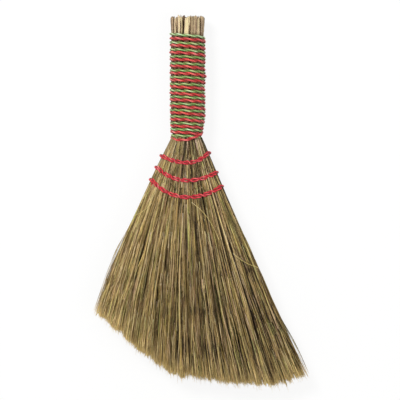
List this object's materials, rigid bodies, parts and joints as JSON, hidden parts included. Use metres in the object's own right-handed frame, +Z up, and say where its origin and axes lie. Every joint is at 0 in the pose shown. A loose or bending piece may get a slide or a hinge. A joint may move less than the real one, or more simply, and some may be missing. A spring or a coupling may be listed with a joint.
{
  "type": "hand broom",
  "caption": "Short floor broom of bound grass stalks: round handle wound with green and red cord, flat fan of bristles bound by sewn rows of red cord.",
  "frame": {"origin": "on the floor under the middle of the broom's box, with the broom lying on its back", "axes": "+Y along the handle towards the cut ends of its stalks, +X across the fan, +Z up through its thickness"},
  "size_m": [0.229, 0.411, 0.0418],
  "materials": {
    "stalk": "dry cut grass stalk, beige to olive grey",
    "pale_stalk": "thick pale straw-yellow stalk",
    "bristle": "dry olive-brown grass, golden at the tips",
    "green_cord": "twisted two-ply green cord",
    "red_cord": "twisted two-ply red cord",
    "sewing_cord": "thin twisted red cord"
  },
  "bodies": {
    "root": {"outer_stalk_01": "stalk", "outer_stalk_02": "stalk", "outer_stalk_03": "stalk", "outer_stalk_04": "pale_stalk", "outer_stalk_05": "pale_stalk", "outer_stalk_06": "stalk", "outer_stalk_07": "stalk", "outer_stalk_08": "stalk", "outer_stalk_09": "stalk", "outer_stalk_10": "stalk", "outer_stalk_11": "stalk", "outer_stalk_12": "stalk", "outer_stalk_13": "stalk", "outer_stalk_14": "stalk", "outer_stalk_15": "stalk", "outer_stalk_16": "stalk", "outer_stalk_17": "stalk", "outer_stalk_18": "stalk", "outer_stalk_19": "stalk", "outer_stalk_20": "stalk", "middle_stalk_01": "stalk", "middle_stalk_02": "stalk", "middle_stalk_03": "stalk", "middle_stalk_04": "stalk", "middle_stalk_05": "stalk", "middle_stalk_06": "stalk", "middle_stalk_07": "stalk", "middle_stalk_08": "stalk", "middle_stalk_09": "stalk", "middle_stalk_10": "stalk", "middle_stalk_11": "stalk", "inner_stalk_01": "stalk", "inner_stalk_02": "stalk", "inner_stalk_03": "stalk", "inner_stalk_04": "stalk", "inner_stalk_05": "stalk", "core_stalk": "stalk", "green_winding": "green_cord", "red_winding": "red_cord", "bristle_tuft_1": "bristle", "bristle_tuft_2": "bristle", "bristle_tuft_3": "bristle", "bristle_tuft_4": "bristle", "bristle_tuft_5": "bristle", "bristle_tuft_6": "bristle", "bristle_tuft_7": "bristle", "upper_sewn_row": "sewing_cord", "middle_sewn_row": "sewing_cord", "lower_sewn_row": "sewing_cord"}
  },
  "joints": []
}
